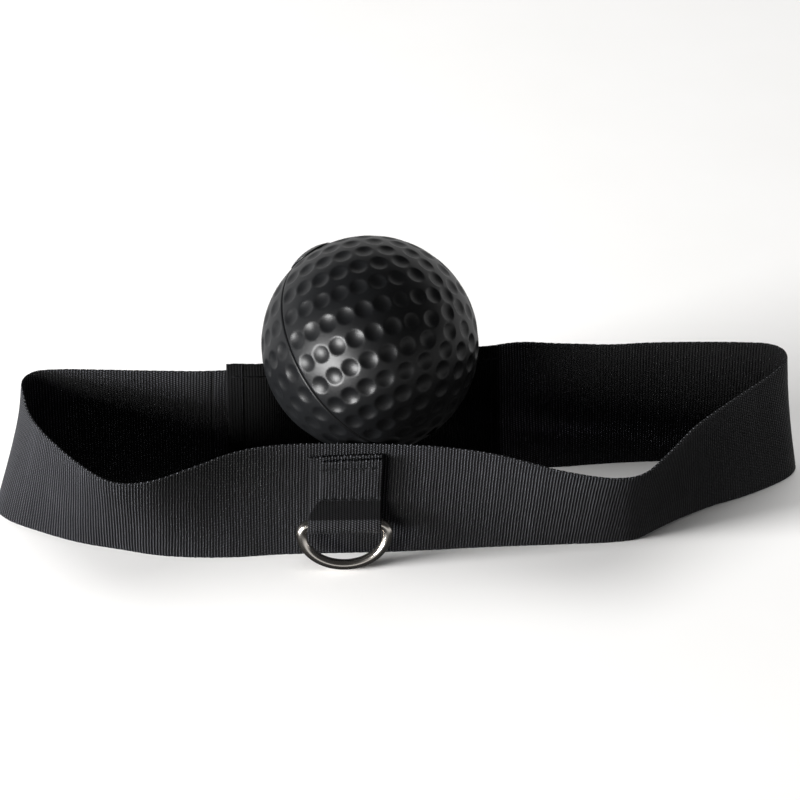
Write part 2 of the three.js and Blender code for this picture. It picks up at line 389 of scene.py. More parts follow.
def woven_mesh(name, strip, material, settings, start=0.0, stop=None):
    """A length of webbing along a strip, with its weave's coordinates in metres."""
    stop = strip.length if stop is None else stop
    along = np.linspace(start, stop, max(2, round((stop - start) / settings.step)) + 1)
    section = woven_section(strip.width, settings.thickness, settings.selvedge)
    height, depth = section_grid(section, len(along))
    # the weft leaves small scallops along both edges
    bite = EDGE_BITE * np.abs(np.sin(np.pi * along / EDGE_PITCH))
    height = height + bite[:, None] * ((height > strip.width / 2) * 2 - 1)
    places = along[:, None].repeat(len(section), 1)
    vertices = strip.points(places, height, depth).reshape(-1, 3)
    faces = tube_faces(len(along), len(section))
    flat_uv = np.stack([places, height], axis=-1).reshape(-1, 2)
    return new_piece(name, vertices, faces, material, [flat_uv[v] for face in faces for v in face])


def mark_darkened(piece, values):
    """Says how far each point of a webbing piece is painted darker and made rougher."""
    layer = piece.data.attributes.new("darkened", "FLOAT", "POINT")
    layer.data.foreach_set("value", np.asarray(values, np.float32).ravel())


# ---------------------------------------------------------------- materials


def polyester_webbing(settings):
    """Black polyester webbing, woven on a narrow loom: crosswise ribs of floats cut into short slanting
    dashes by the lengthwise yarns, so it looks like fine corduroy. The sheen of its silky crests is a
    painted highlight, a colour far lighter than the black yarn, and the valleys are painted dark as shade."""
    material, tree, shader = new_material("woven_polyester_webbing")
    uv = add_node(tree, "ShaderNodeUVMap", uv_map="weave")
    parts = add_node(tree, "ShaderNodeSeparateXYZ", {0: uv})
    across = parts.outputs["Y"]
    wander = add_node(tree, NOISE, {"Vector": uv, "Scale": 70.0, "Detail": 3.0})
    shift = add_node(tree, MATH, {0: wander, 1: 0.5 * MM}, operation="MULTIPLY")
    along = add_node(tree, MATH, {0: parts.outputs["X"], 1: shift}, operation="ADD")
    rib_turn = add_node(tree, MATH, {0: along, 1: 2 * math.pi / settings.rib_pitch}, operation="MULTIPLY")
    rib_wave = add_node(tree, MATH, {0: rib_turn}, operation="COSINE")
    rib = add_node(tree, MATH, {0: rib_wave, 1: 0.5, 2: 0.5}, operation="MULTIPLY_ADD")
    # a dash climbs half a yarn from each rib to the next, which gives the twill's slant
    yarn_turn = add_node(tree, MATH, {0: across, 1: 2 * math.pi / settings.yarn_pitch}, operation="MULTIPLY")
    dash_turn = add_node(tree, MATH, {0: rib_turn, 1: 0.5, 2: yarn_turn}, operation="MULTIPLY_ADD")
    dash_wave = add_node(tree, MATH, {0: dash_turn}, operation="COSINE")
    dash = add_node(tree, MATH, {0: dash_wave, 1: 0.5, 2: 0.5}, operation="MULTIPLY_ADD")
    dash_rise = add_node(tree, MATH, {0: dash, 1: 0.8, 2: 0.2}, operation="MULTIPLY_ADD")
    relief = add_node(tree, MATH, {0: rib, 1: dash_rise}, operation="MULTIPLY")
    # each rib's yarn took the dye and the light a little differently
    squeezed = add_node(tree, MATH, {0: across, 1: 0.06}, operation="MULTIPLY")
    streak_at = add_node(tree, "ShaderNodeCombineXYZ", {0: along, 1: squeezed})
    streaks = add_node(tree, NOISE, {"Vector": streak_at, "Scale": 420.0, "Detail": 2.0})
    streak = add_node(tree, MATH, {0: streaks, 1: 1.1, 2: 0.4}, operation="MULTIPLY_ADD")
    patches = add_node(tree, NOISE, {"Vector": uv, "Scale": 45.0, "Detail": 3.0})
    patch = add_node(tree, MATH, {0: patches, 1: 0.7, 2: 0.65}, operation="MULTIPLY_ADD")
    # painted highlight and shade: the relief paints the crests light and the valleys dark; the streaks and
    # patches vary the tone at random
    narrow = add_node(tree, MATH, {0: relief, 1: 2.4}, operation="POWER")
    crest = add_node(tree, MATH, {0: narrow, 1: streak}, operation="MULTIPLY")
    painted_sheen_and_tone = add_node(tree, MATH, {0: crest, 1: patch}, operation="MULTIPLY")
    woven = add_node(
        tree, MIX, {"Factor": painted_sheen_and_tone, "A": linear(settings.shade), "B": linear(settings.colour)},
        data_type="RGBA")
    # where a piece is darkened it takes the painted dark colour and 0.4 more roughness
    darkened = add_node(tree, "ShaderNodeAttribute", attribute_name="darkened").outputs["Fac"]
    colour = add_node(
        tree, MIX, {"Factor": darkened, "A": woven.outputs[2], "B": linear(settings.darkened)}, data_type="RGBA")
    sheen = add_node(tree, RANGE, {"Value": relief, "To Min": 0.7, "To Max": 0.32})
    rough = add_node(tree, MATH, {0: darkened, 1: 0.4, 2: sheen}, operation="MULTIPLY_ADD")
    bump = add_node(tree, BUMP, {"Height": relief, "Strength": 1.0, "Distance": 0.45 * MM})
    fill(tree, shader, {"Base Color": colour.outputs[2], "Roughness": rough, "Normal": bump,
                        "IOR": 1.5, "Specular IOR Level": 0.3})
    return material


def moulded_foam(settings):
    """Self-skinned polyurethane foam: the mould leaves a dense satin skin with a faint orange-peel
    grain, so highlights are broad and soft and the dimples' rims catch them."""
    material, tree, shader = new_material("moulded_polyurethane_foam")
    place = add_node(tree, "ShaderNodeTexCoord").outputs["Object"]
    grain = add_node(tree, NOISE, {"Vector": place, "Scale": 1400.0, "Detail": 3.0})
    patches = add_node(tree, NOISE, {"Vector": place, "Scale": 60.0, "Detail": 4.0})
    colour = add_node(
        tree, MIX, {"Factor": patches, "A": linear("#060607"), "B": linear(settings.colour)},
        data_type="RGBA")
    rough = add_node(tree, RANGE, {"Value": patches, "To Min": 0.34, "To Max": 0.46})
    bump = add_node(tree, BUMP, {"Height": grain, "Strength": 0.25, "Distance": 0.03 * MM})
    fill(tree, shader, {"Base Color": colour.outputs[2], "Roughness": rough, "Normal": bump, "IOR": 1.45})
    return material


def nickel_plate(settings):
    """Bright nickel plate on bent steel wire: mirror-like and slightly warm, with fine handling
    scratches that blur it a little."""
    material, tree, shader = new_material("nickel_plated_steel_wire")
    place = add_node(tree, "ShaderNodeTexCoord").outputs["Object"]
    scratches = add_node(tree, NOISE, {"Vector": place, "Scale": 2600.0, "Detail": 4.0, "Distortion": 1.5})
    haze = add_node(tree, NOISE, {"Vector": place, "Scale": 260.0, "Detail": 3.0})
    rough = add_node(tree, RANGE, {"Value": haze, "To Min": 0.1, "To Max": 0.26})
    bump = add_node(tree, BUMP, {"Height": scratches, "Strength": 0.12, "Distance": 0.01 * MM})
    fill(tree, shader, {"Base Color": linear(settings.colour), "Metallic": 1.0, "Roughness": rough,
                        "Normal": bump})
    return material


def nylon_tape(settings, name, scale):
    """Woven nylon tape base under hooks or brushed loops: matt and darker than the webbing."""
    material, tree, shader = new_material(name)
    place = add_node(tree, "ShaderNodeTexCoord").outputs["Object"]
    fluff = add_node(tree, NOISE, {"Vector": place, "Scale": scale, "Detail": 5.0})
    colour = add_node(
        tree, MIX, {"Factor": fluff, "A": linear("#07080A"), "B": linear(settings.colour)},
        data_type="RGBA")
    bump = add_node(tree, BUMP, {"Height": fluff, "Strength": 0.7, "Distance": 0.2 * MM})
    fill(tree, shader, {"Base Color": colour.outputs[2], "Normal": bump, "Roughness": 0.85,
                        "Sheen Weight": 0.25})
    return material


def twisted_thread(settings):
    """Twisted polyester sewing thread: nearly matt, its faint gloss broken by the twist of its plies."""
    material, tree, shader = new_material("twisted_polyester_thread")
    place = add_node(tree, "ShaderNodeTexCoord").outputs["Object"]
    plies = add_node(
        tree, "ShaderNodeTexWave", {"Vector": place, "Scale": 900.0, "Distortion": 1.0},
        bands_direction="DIAGONAL")
    bump = add_node(
        tree, BUMP, {"Height": plies.outputs["Fac"], "Strength": 0.5, "Distance": 0.05 * MM})
    fill(tree, shader, {"Base Color": linear(settings.colour), "Roughness": 0.62,
                        "Specular IOR Level": 0.2, "Normal": bump})
    return material


def moulded_plastic():
    """Injection-moulded ABS of the stop: smooth, dark, with a soft gloss."""
    material, tree, shader = new_material("moulded_abs")
    place = add_node(tree, "ShaderNodeTexCoord").outputs["Object"]
    fine = add_node(tree, NOISE, {"Vector": place, "Scale": 900.0})
    rough = add_node(tree, RANGE, {"Value": fine, "To Min": 0.3, "To Max": 0.42})
    fill(tree, shader, {"Base Color": linear("#0C0D0E"), "Roughness": rough})
    return material


def material_named(name, make, *arguments):
    return bpy.data.materials.get(name) or make(*arguments)


# ---------------------------------------------------------------- the strips' places


def flap_strip():
    return Strip("closure_flap_webbing")


def band_strip():
    """The band runs on from the flap's hinged end."""
    flap = flap_strip()
    return Strip("headband_webbing", flap.foot[-1], flap.head[-1])


def station_of(strip, point):
    """Distance along a strip at which its surface passes nearest to a point."""
    grid = np.linspace(0, strip.length, 1500)
    foot, up, _ = strip.axes(grid)
    line = foot + up * ((point[2] - foot[:, 2]) / up[:, 2])[:, None]
    return float(grid[np.argmin(np.linalg.norm(line - np.array(point), axis=1))])


def middle_of(node):
    low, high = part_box(node)
    return (low + high) / 2


# ---------------------------------------------------------------- geometry node trees


def tab_place():
    """The band's strip and the distance along it at which the tab's middle lies."""
    strip = band_strip()
    return strip, station_of(strip, middle_of("ring_tab"))


def new_tree(name, **sockets):
    """A geometry tree with a mesh input and output; the other inputs are (socket type, default)."""
    tree = bpy.data.node_groups.new(name, "GeometryNodeTree")
    tree.interface.new_socket("Geometry", in_out="INPUT", socket_type="NodeSocketGeometry")
    for socket, (kind, default) in sockets.items():
        made = tree.interface.new_socket(socket, in_out="INPUT", socket_type=kind)
        if default is not None:
            made.default_value = default
    tree.interface.new_socket("Geometry", in_out="OUTPUT", socket_type="NodeSocketGeometry")
    return tree, add_node(tree, "NodeGroupInput").outputs


def run_tree(piece, tree, **values):
    """Puts the tree on the piece and sets its inputs by the sockets' identifiers."""
    modifier = piece.modifiers.new(tree.name, "NODES")
    modifier.node_group = tree
    for item in tree.interface.items_tree:
        if item.item_type == "SOCKET" and item.in_out == "INPUT" and item.name in values:
            modifier[item.identifier] = values[item.name]
    return piece


def point_cloud(name, points, **directions):
    """A mesh of loose points, each with named direction attributes."""
    mesh = bpy.data.meshes.new(name)
    mesh.from_pydata([tuple(p) for p in points], [], [])
    for attribute, rows in directions.items():
        layer = mesh.attributes.new(attribute, "FLOAT_VECTOR", "POINT")
        layer.data.foreach_set("vector", np.asarray(rows, np.float32).ravel())
    return new_object(name, mesh)


def instance_tree(name, shape):
    """Stands a shape on every point, its X along the attribute "ahead" and its Z along "outward"."""
    if name in bpy.data.node_groups:
        return bpy.data.node_groups[name]
    number = "NodeSocketFloat"
    tree, given = new_tree(
        name, Length=(number, 1.0), Width=(number, 1.0), Height=(number, 1.0),
        Material=("NodeSocketMaterial", None))
    ahead, outward = (
        add_node(tree, "GeometryNodeInputNamedAttribute", {"Name": way}, data_type="FLOAT_VECTOR")
        for way in ("ahead", "outward"))
    turn = add_node(
        tree, "FunctionNodeAxesToRotation", {"Primary Axis": outward, "Secondary Axis": ahead},
        primary_axis="Z", secondary_axis="X")
    scale = add_node(
        tree, "ShaderNodeCombineXYZ", {0: given["Length"], 1: given["Width"], 2: given["Height"]})
    placed = add_node(
        tree, "GeometryNodeInstanceOnPoints",
        {"Points": given["Geometry"], "Instance": shape(tree), "Rotation": turn, "Scale": scale})
    return finished_tree(tree, placed, given)


def finished_tree(tree, shape, given):
    """Ends a tree: its instances made real, in the material it was given."""
    real = add_node(tree, "GeometryNodeRealizeInstances", {0: shape})
    look = add_node(tree, "GeometryNodeSetMaterial", {"Geometry": real, "Material": given["Material"]})
    add_node(tree, "NodeGroupOutput", {0: look})
    return tree


def bent_rod(tree, start, middle, end, thickness, sides=6, steps=6):
    """A rod bent along one arch from start through a control point to end, with closed ends."""
    arch = add_node(
        tree, "GeometryNodeCurveQuadraticBezier",
        {"Resolution": steps, "Start": start, "Middle": middle, "End": end})
    circle = add_node(
        tree, "GeometryNodeCurvePrimitiveCircle", {"Resolution": sides, "Radius": thickness / 2})
    rod = add_node(
        tree, "GeometryNodeCurveToMesh", {"Curve": arch, "Profile Curve": circle, "Fill Caps": True})
    return add_node(tree, "GeometryNodeSetShadeSmooth", {0: rod})


def stitch_shape(tree):
    """One stitch, a unit long: it leaves one needle hole, arches a little and goes into the next."""
    return bent_rod(tree, (-0.5, 0, -0.9), (0, 0, 2.3), (0.5, 0, -0.9), 1.0, 6, 7)


def hook_shape(tree):
    """One hook of unit height: a stem that bends over and points back down."""
    return bent_rod(tree, (-0.35, 0, -0.1), (0.1, 0, 1.75), (0.5, 0, 0.45), 0.28, 5, 5)


def loop_shape(tree):
    """One brushed loop of fibre of unit height, lying over to one side."""
    return bent_rod(tree, (-0.6, 0, -0.2), (0.3, 0.3, 1.9), (0.75, 0.2, -0.2), 0.12, 4, 6)


# ---------------------------------------------------------------- making the pieces


def thread_row(name, line, outward, body, settings):
    """A row of lockstitches along a line of points, with the surface's outward direction at each."""
    distance = run_along(line)
    count = max(2, round(distance[-1] / settings.pitch))
    pitch = distance[-1] / count
    at = (np.arange(count) + 0.5) * pitch
    sample = lambda rows, d: np.stack([np.interp(d, distance, rows[:, k]) for k in range(3)], axis=1)
    ahead = sample(line, at + 0.4 * pitch) - sample(line, at - 0.4 * pitch)
    points = point_cloud(name, sample(line, at), ahead=ahead, outward=sample(outward, at))
    thread = material_named("twisted_polyester_thread", twisted_thread, settings)
    # the arch's own rod is one unit thick, so its length is set apart from its width and rise
    run_tree(points, instance_tree("lockstitch", stitch_shape), Length=pitch * 0.96,
             Width=settings.width, Height=settings.width * 0.62, Material=thread)
    finish_piece(baked(points, name, thread), body, "thread", name)


def row_on(strip, node, depth):
    """The middle line of a lengthwise thread row's CAD body, laid on the webbing's face."""
    points = points_of(node)
    stations = [points[row < 1.5 * MM].mean(axis=0) for row in
                np.linalg.norm(points[:, None] - points[None], axis=2)]
    middle = chained(np.unique(np.round(stations, 6), axis=0), first_end(node))
    at = np.array([station_of(strip, p) for p in middle])
    foot, up, out = strip.axes(at)
    height = ((middle - foot) * up).sum(axis=1)
    line = foot + up * height[:, None] + out * depth
    return line, out * math.copysign(1, depth)


def cross_row_on(strip, node, depth):
    """The middle line of a crosswise thread row, from its lower end to its upper end."""
    low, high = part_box(node)
    foot, up, out = strip.axes_at(station_of(strip, middle_of(node)))
    heights = np.linspace(low.z, high.z, 12) / up[2]
    line = foot + up * heights[:, None] + out * depth
    return line, np.repeat(out[None, :] * math.copysign(1, depth), len(line), 0)


def tape_mesh(name, node, material, fibres, pitch, body, settings, side):
    """A tape's woven base, and on its working face a field of hooks or loops."""
    strip, height = Strip(node), settings.hook_height
    along = np.linspace(0, strip.length, round(strip.length / TAPE_STEP) + 1)
    half = strip.thickness * 0.5
    heights = np.concatenate([
        [0, 0.35 * MM], np.linspace(TAPE_STEP, strip.width - TAPE_STEP, 16),
        [strip.width - 0.35 * MM, strip.width]])
    pinched = np.where((heights <= 0) | (heights >= strip.width), 0.35, 1.0)
    section = [(h, -half * k) for h, k in zip(heights, pinched)]
    section += [(h, half * k) for h, k in zip(heights[::-1], pinched[::-1])]
    h, d = section_grid(section, len(along))
    # only the working face rises to the tape's full depth; hooks or loops stand on the rest
    d = np.where(np.sign(d) == side, d - side * height * 0.75, d)
    vertices = strip.points(along[:, None].repeat(len(section), 1), h, d).reshape(-1, 3)
    base = new_piece(name, vertices, tube_faces(len(along), len(section)), material)
    rows = np.arange(TAPE_MARGIN, strip.length - TAPE_MARGIN, pitch)
    columns = np.arange(TAPE_MARGIN, strip.width - TAPE_MARGIN, pitch)
    grid = np.array([(a + (j % 2) * pitch / 2, b) for a in rows for j, b in enumerate(columns)])
    brushed = fibres is loop_shape
    if brushed:
        grid += np.random.default_rng(settings.seed).uniform(-0.4, 0.4, grid.shape) * pitch
        grid[:, 1] = np.clip(grid[:, 1], TAPE_MARGIN, strip.width - TAPE_MARGIN)
    foot, up, out = strip.axes(grid[:, 0])
    places = foot + up * grid[:, 1:2] + out * side * (half - height * 0.75)
    ahead = up
    if brushed:
        angle = np.random.default_rng(settings.seed + 1).uniform(0, 2 * math.pi, len(grid))[:, None]
        ahead = np.cross(up, out) * np.cos(angle) + up * np.sin(angle)
    cloud = point_cloud(name + "_field", places, ahead=ahead, outward=out * side)
    run_tree(cloud, instance_tree("loop_field" if brushed else "hook_field", fibres),
             Length=height, Width=height, Height=height, Material=material)
    field = baked(cloud, name + "_field", material)
    finish_piece(base, body, "tape", node)
    finish_piece(field, body, "tape")


class HEADBAND_OT_webbing(bpy.types.Operator):
    """Weave the band and the closure flap"""

    bl_idname = "headband.webbing"
    bl_label = "Webbing"

    def execute(self, context):
        settings = context.scene.headband_webbing
        cloth = material_named("woven_polyester_webbing", polyester_webbing, settings)
        strip = band_strip()
        band = woven_mesh("band_webbing", strip, cloth, settings, start=-HALF_GAP)
        # from 3 mm before the loop tape sewn behind its end, the band is painted darker and made rougher
        columns = len(woven_section(1, 1, 1))
        along = np.linspace(-HALF_GAP, strip.length, len(band.data.vertices) // columns)
        first = strip.length - Strip("loop_tape").length - 3 * MM
        mark_darkened(band, np.repeat(np.clip((along - first) / (1.5 * MM), 0, 1), columns))
        finish_piece(band, "headband", "webbing", "headband_webbing")
        strip = flap_strip()
        flap = woven_mesh("flap_webbing", strip, cloth, settings, stop=strip.length + HALF_GAP)
        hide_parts("closure_flap_webbing")
        foot, up, _ = strip.axes(np.array([strip.length, strip.length - BEND_LENGTH]))
        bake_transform(flap)
        return {"FINISHED"}


class HEADBAND_OT_tapes(bpy.types.Operator):
    """Lay the hook tape and the loop tape"""

    bl_idname = "headband.tapes"
    bl_label = "Hook and loop tape"

    def execute(self, context):
        settings = context.scene.headband_tape
        for kind, finish, scale, fibres, pitch, body, side in (
                ("hook", "woven_nylon_hook_tape", 1600.0, hook_shape, settings.hook_pitch,
                 "closure_flap", -1),
                ("loop", "brushed_nylon_loop_tape", 700.0, loop_shape, settings.loop_pitch,
                 "headband", 1)):
            nylon = material_named(finish, nylon_tape, settings, finish, scale)
            tape_mesh(f"{kind}_tape_base", f"{kind}_tape", nylon, fibres, pitch, body, settings, side)
        return {"FINISHED"}


class HEADBAND_OT_stitches(bpy.types.Operator):
    """Sew the rows of thread"""

    bl_idname = "headband.stitches"
    bl_label = "Stitches"

    def execute(self, context):
        settings = context.scene.headband_thread
        half = context.scene.headband_webbing.thickness / 2
        for tape, strip, side, body in (
                ("hook", flap_strip(), 1, "closure_flap"), ("loop", band_strip(), -1, "headband")):
            for row in ("upper", "lower", "first", "last"):
                node = f"{tape}_stitches_{row}"
                lay = row_on if row in ("upper", "lower") else cross_row_on
                line, outward = lay(strip, node, side * (half + 0.05 * MM))
                thread_row(node, line, outward, body, settings)
        return {"FINISHED"}


class HEADBAND_OT_tab(bpy.types.Operator):
    """Fold the ring's tab and sew it down"""

    bl_idname = "headband.tab"
    bl_label = "Ring tab"

    def execute(self, context):
        scene = context.scene
        make_tab(scene.headband_webbing, scene.headband_thread, scene.headband_ring)
        return {"FINISHED"}


class HEADBAND_OT_ring(bpy.types.Operator):
    """Bend the D-ring"""

    bl_idname = "headband.ring"
    bl_label = "D-ring"

    def execute(self, context):
        make_ring(context.scene.headband_ring)
        return {"FINISHED"}


class HEADBAND_OT_ball(bpy.types.Operator):
    """Mould the foam ball and its cord stop"""

    bl_idname = "headband.ball"
    bl_label = "Ball"

    def execute(self, context):
        make_ball(context.scene.headband_ball)
        make_stop(context.scene.headband_ball)
        return {"FINISHED"}


class HEADBAND_OT_stage(bpy.types.Operator):
    """Set up the floor, the lights and the camera"""

    bl_idname = "headband.stage"
    bl_label = "Stage"

    def execute(self, context):
        make_stage(context.scene.headband_stage)
        return {"FINISHED"}


class HEADBAND_PT_build(bpy.types.Panel):
    """Lists the pieces of the headband"""

    bl_idname = "HEADBAND_PT_build"
    bl_label = "Reflex ball headband"
    bl_space_type = "VIEW_3D"
    bl_region_type = "UI"
    bl_category = "Headband"

    def draw(self, context):
        for operator in OPERATORS:
            self.layout.operator(operator.bl_idname)
        for name, group in GROUPS.items():
            box = self.layout.box()
            for prop in group.__annotations__:
                box.prop(getattr(context.scene, name), prop)


# ---------------------------------------------------------------- tab and ring

BAR = (4.3 * MM, 13.2 * MM)  # the ring's bar, outwards and upwards from the band's lower edge
TAB_TOP = 35.2 * MM
TAB_FRONT_TOP = 34.6 * MM
FOLD = 20.0 * MM  # where the tab's layers part over the bar
FRONT_INSET = 3.0 * MM  # the front layer stops short of the back one's left edge
TAB_WIDTH = 19.6 * MM
UPPER_SEAM, LOWER_SEAM = 32.0 * MM, 21.0 * MM  # heights of the two rows of stitches


def arc_points(centre, radius, start, stop, steps):
    return [(centre[0] + radius * math.cos(a), centre[1] + radius * math.sin(a))
            for a in np.linspace(start, stop, steps)]


def tab_line(back, front, radius):
    """The tab's middle line in (outwards, up): down its back layer, round the bar, up its front one."""
    def tangent(depth, side):
        dx, dy = depth - BAR[0], FOLD - BAR[1]
        return math.atan2(dy, dx) % (2 * math.pi) + side * math.acos(radius / math.hypot(dx, dy))
    start, stop = tangent(back, 1), tangent(front, -1) + 2 * math.pi
    line = [(back, h) for h in np.linspace(TAB_TOP, FOLD, 16)]
    line += arc_points(BAR, radius, start, stop, 26)
    line += [(front, h) for h in np.linspace(FOLD, TAB_FRONT_TOP, 26)]
    return np.array(line)


def resampled(line, step):
    """Points a step apart along a line whose sharpest corners are eased, and their distances."""
    for _ in range(2):
        line = np.vstack([line[:1], (line[:-2] + 2 * line[1:-1] + line[2:]) / 4, line[-1:]])
    run = run_along(line)
    at = np.linspace(0, run[-1], round(run[-1] / step) + 1)
    return np.stack([np.interp(at, run, line[:, k]) for k in range(line.shape[1])], axis=1), at


def tab_slope(x, height):
    """How far the tab's upper part falls away to the left."""
    return 0.06 * np.clip((height - 22 * MM) / (12 * MM), 0, 1) * (x - TAB_WIDTH / 2)


def make_tab(webbing, thread, ring):
    strip, at = tab_place()
    thick = webbing.tab_thickness
    back = 0.8 * MM + thick / 2
    front = back + thick + 0.25 * MM
    line, run = resampled(tab_line(back, front, ring.wire / 2 + 0.15 * MM + thick / 2), 0.35 * MM)
    tangent = np.gradient(line, axis=0)
    tangent /= np.linalg.norm(tangent, axis=1)[:, None]
    normal = np.stack([-tangent[:, 1], tangent[:, 0]], axis=1)  # towards the tab's outside
    if normal[len(normal) // 2] @ (line[len(line) // 2] - np.array(BAR)) < 0:
        normal = -normal
    is_front = (run > run[np.argmin(line[:, 1])]).astype(float)
    climb = np.clip((line[:, 1] - 15.5 * MM) / (6 * MM), 0, 1) * is_front
    inset = FRONT_INSET * climb * climb * (3 - 2 * climb)
    across = np.linspace(0, 1, 57)
    rows = []
    for face in (1, -1):
        grid = []
        for i, (a, b) in enumerate(line):
            left, right = -TAB_WIDTH / 2 + inset[i], TAB_WIDTH / 2
            x = left + across * (right - left)
            edge = np.minimum(x - left, right - x)
            lift = face * thick / 2 * np.clip(edge / (0.5 * MM), 0.25, 1) ** 0.6
            depth = a + normal[i, 0] * lift
            if is_front[i] and b > 18 * MM:
                # each seam pulls a rippled dent, between them the webbing swells, and it stands
                # proud of the stretch below the lower seam
                dent = 0.32 * MM * (np.exp(-((b - UPPER_SEAM) / (0.7 * MM)) ** 2)
                                    + 1.15 * np.exp(-((b - LOWER_SEAM) / (0.9 * MM)) ** 2))
                ripple = 0.6 + 0.4 * np.cos(2 * math.pi * x / thread.pitch)
                swell = 0.28 * MM * np.exp(-((b - 26.5 * MM) / (3.2 * MM)) ** 2)
                inside = np.clip(edge / (1.5 * MM), 0, 1)
                proud = 0.45 * MM * np.clip((b - 20.4 * MM) / (0.8 * MM), 0, 1)
                depth = depth - dent * ripple * inside + swell * inside + proud
            grid.append(np.stack([x, depth, b + normal[i, 1] * lift], axis=1))
        rows.append(np.array(grid))
    outer, inner = rows
    # sawtooth where the webbing was cut: alternate ribs stand proud
    for end in (0, -1):
        tooth = 0.22 * MM * (1 - 2 * np.abs(((outer[end, :, 0] / (0.75 * MM)) % 1) - 0.5))
        outer[end, :, 2] += tooth
        inner[end, :, 2] += tooth
    grid = np.concatenate([outer, inner[:, ::-1]], axis=1)
    x, a, b = grid[..., 0], grid[..., 1], grid[..., 2]
    b = b + tab_slope(x, b)
    # the tab lies on the band's own curve
    foot, up, out = strip.axes((at + x).ravel())
    vertices = foot + up * b.reshape(-1, 1) + out * a.reshape(-1, 1)
    columns = grid.shape[1]
    faces = grid_faces(len(line), columns)
    for base in (0, len(vertices) - columns):
        for j in range(columns // 2 - 1):
            faces.append((base + j, base + columns - 1 - j, base + columns - 2 - j, base + j + 1))
    flat_uv = np.stack([x, run[:, None].repeat(columns, 1)], axis=-1).reshape(-1, 2)
    cloth = material_named("woven_polyester_webbing", polyester_webbing, webbing)
    tab = new_piece("ring_tab_webbing", vertices, faces, cloth, [flat_uv[k] for face in faces for k in face])
    fix_normals(tab)
    # painted shade: the stretch between the lower seam and the fold is painted darker, and made rougher
    mark_darkened(tab, is_front[:, None] * (b > 15.6 * MM) * (b < 20.6 * MM))
    finish_piece(tab, "headband", "webbing", "ring_tab")
    x = np.linspace(-6.6 * MM, 8.6 * MM, 24)
    foot, up, out = strip.axes(at + x)
    for row, height in (("upper", UPPER_SEAM), ("lower", LOWER_SEAM)):
        rise = (height + tab_slope(x, height))[:, None]
        row_line = foot + up * rise + out * (front + thick / 2 + 0.2 * MM)
        thread_row(f"tab_stitches_{row}", row_line, out, "headband", thread)


def fix_normals(piece):
    bm = bmesh.new()
    bm.from_mesh(piece.data)
    bmesh.ops.recalc_face_normals(bm, faces=bm.faces)
    bm.to_mesh(piece.data)
    bm.free()


def circle(sides):
    """Points round a circle of radius one."""
    angle = np.linspace(0, 2 * math.pi, sides, endpoint=False)
    return np.stack([np.cos(angle), np.sin(angle)], axis=1)


def make_ring(settings):
    strip, at = tab_place()
    foot, up, out = strip.axes_at(at)
    along = np.array([-out[1], out[0], 0.0])
    bar = foot + up * BAR[1] + out * BAR[0]
    bow = out * math.sin(RING_LEAN) + np.array([0, 0, -math.cos(RING_LEAN)])
    half = (RING_INNER_WIDTH + settings.wire) / 2
    corner = settings.corner
    outline = [(x, 0.0) for x in np.linspace(corner - half, half - corner, 30)]
    outline += arc_points((half - corner, -corner), corner, math.pi / 2, 0, 14)[1:]
    outline += [(half * math.cos(t), -corner + (RING_DROP - corner) * math.sin(t))
                for t in np.linspace(0, -math.pi, 90)[1:]]
    outline += arc_points((corner - half, -corner), corner, math.pi, math.pi / 2, 14)[1:-1]
    outline = np.array(outline)
    run = np.roll(outline, -1, axis=0) - np.roll(outline, 1, axis=0)
    run /= np.linalg.norm(run, axis=1)[:, None]
    # the outline's X is lengthwise and its drop goes along the bow
    centre = bar + outline[:, :1] * along - outline[:, 1:] * bow
    side = -run[:, 1:] * along - run[:, :1] * bow
    turn = circle(28)
    rings = centre[:, None, :] + settings.wire / 2 * (
        turn[None, :, :1] * side[:, None, :] + turn[None, :, 1:] * np.cross(along, bow))
    plate = material_named("nickel_plated_steel_wire", nickel_plate, settings)
    faces = grid_faces(len(outline), len(turn), endless=True)
    piece = new_piece("d_ring_wire", rings.reshape(-1, 3), faces, plate)
    fix_normals(piece)
    finish_piece(piece, "ring", "nickel_plate", "d_ring")


# ---------------------------------------------------------------- ball


def ball_fit():
    """Centre and radius of the ball, from the CAD points that lie on its surface."""
    nodes = ("ball_moulding_right", "ball_moulding_left")
    points = np.array([v.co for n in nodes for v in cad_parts[n].data.vertices])
    low = np.min([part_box(n)[0] for n in nodes], axis=0)
    high = np.max([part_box(n)[1] for n in nodes], axis=0)
    centre, radius = (low + high) / 2, float(max(high - low)) / 2
    for _ in range(3):
        away = np.linalg.norm(points - centre, axis=1)
        skin = points[away > radius * 0.985]
        rows = np.hstack([2 * skin, np.ones((len(skin), 1))])
        solved = np.linalg.lstsq(rows, (skin**2).sum(axis=1), rcond=None)[0]
        centre = solved[:3]
        radius = math.sqrt(solved[3] + centre @ centre)
    return centre, radius


def upright(direction):
    """Rotation as columns (x, y, direction)."""
    z = np.array(Vector(direction).normalized())
    x = np.array(FIRST_DIMPLE)
    x = x - z * (x @ z)
    x /= np.linalg.norm(x)
    return np.stack([x, np.cross(z, x), z], axis=1)


def turned_piece(name, outline, sides, turn, centre, material):
    """A closed round piece from its (radius, height) outline; the outline's two ends are on the axis."""
    rings = [np.column_stack([circle(sides) * r, np.full(sides, h)]) for r, h in outline[1:-1]]
    ends = [[0, 0, outline[0][1]], [0, 0, outline[-1][1]]]
    points = np.vstack([*rings, ends]) @ turn.T + centre
    faces = grid_faces(len(rings), sides)
    first, last, row = len(points) - 2, len(points) - 1, (len(rings) - 1) * sides
    for j in range(sides):
        k = (j + 1) % sides
        faces += [(k, j, first), (row + j, row + k, last)]
    piece = new_piece(name, points, faces, material)
    fix_normals(piece)
    return piece


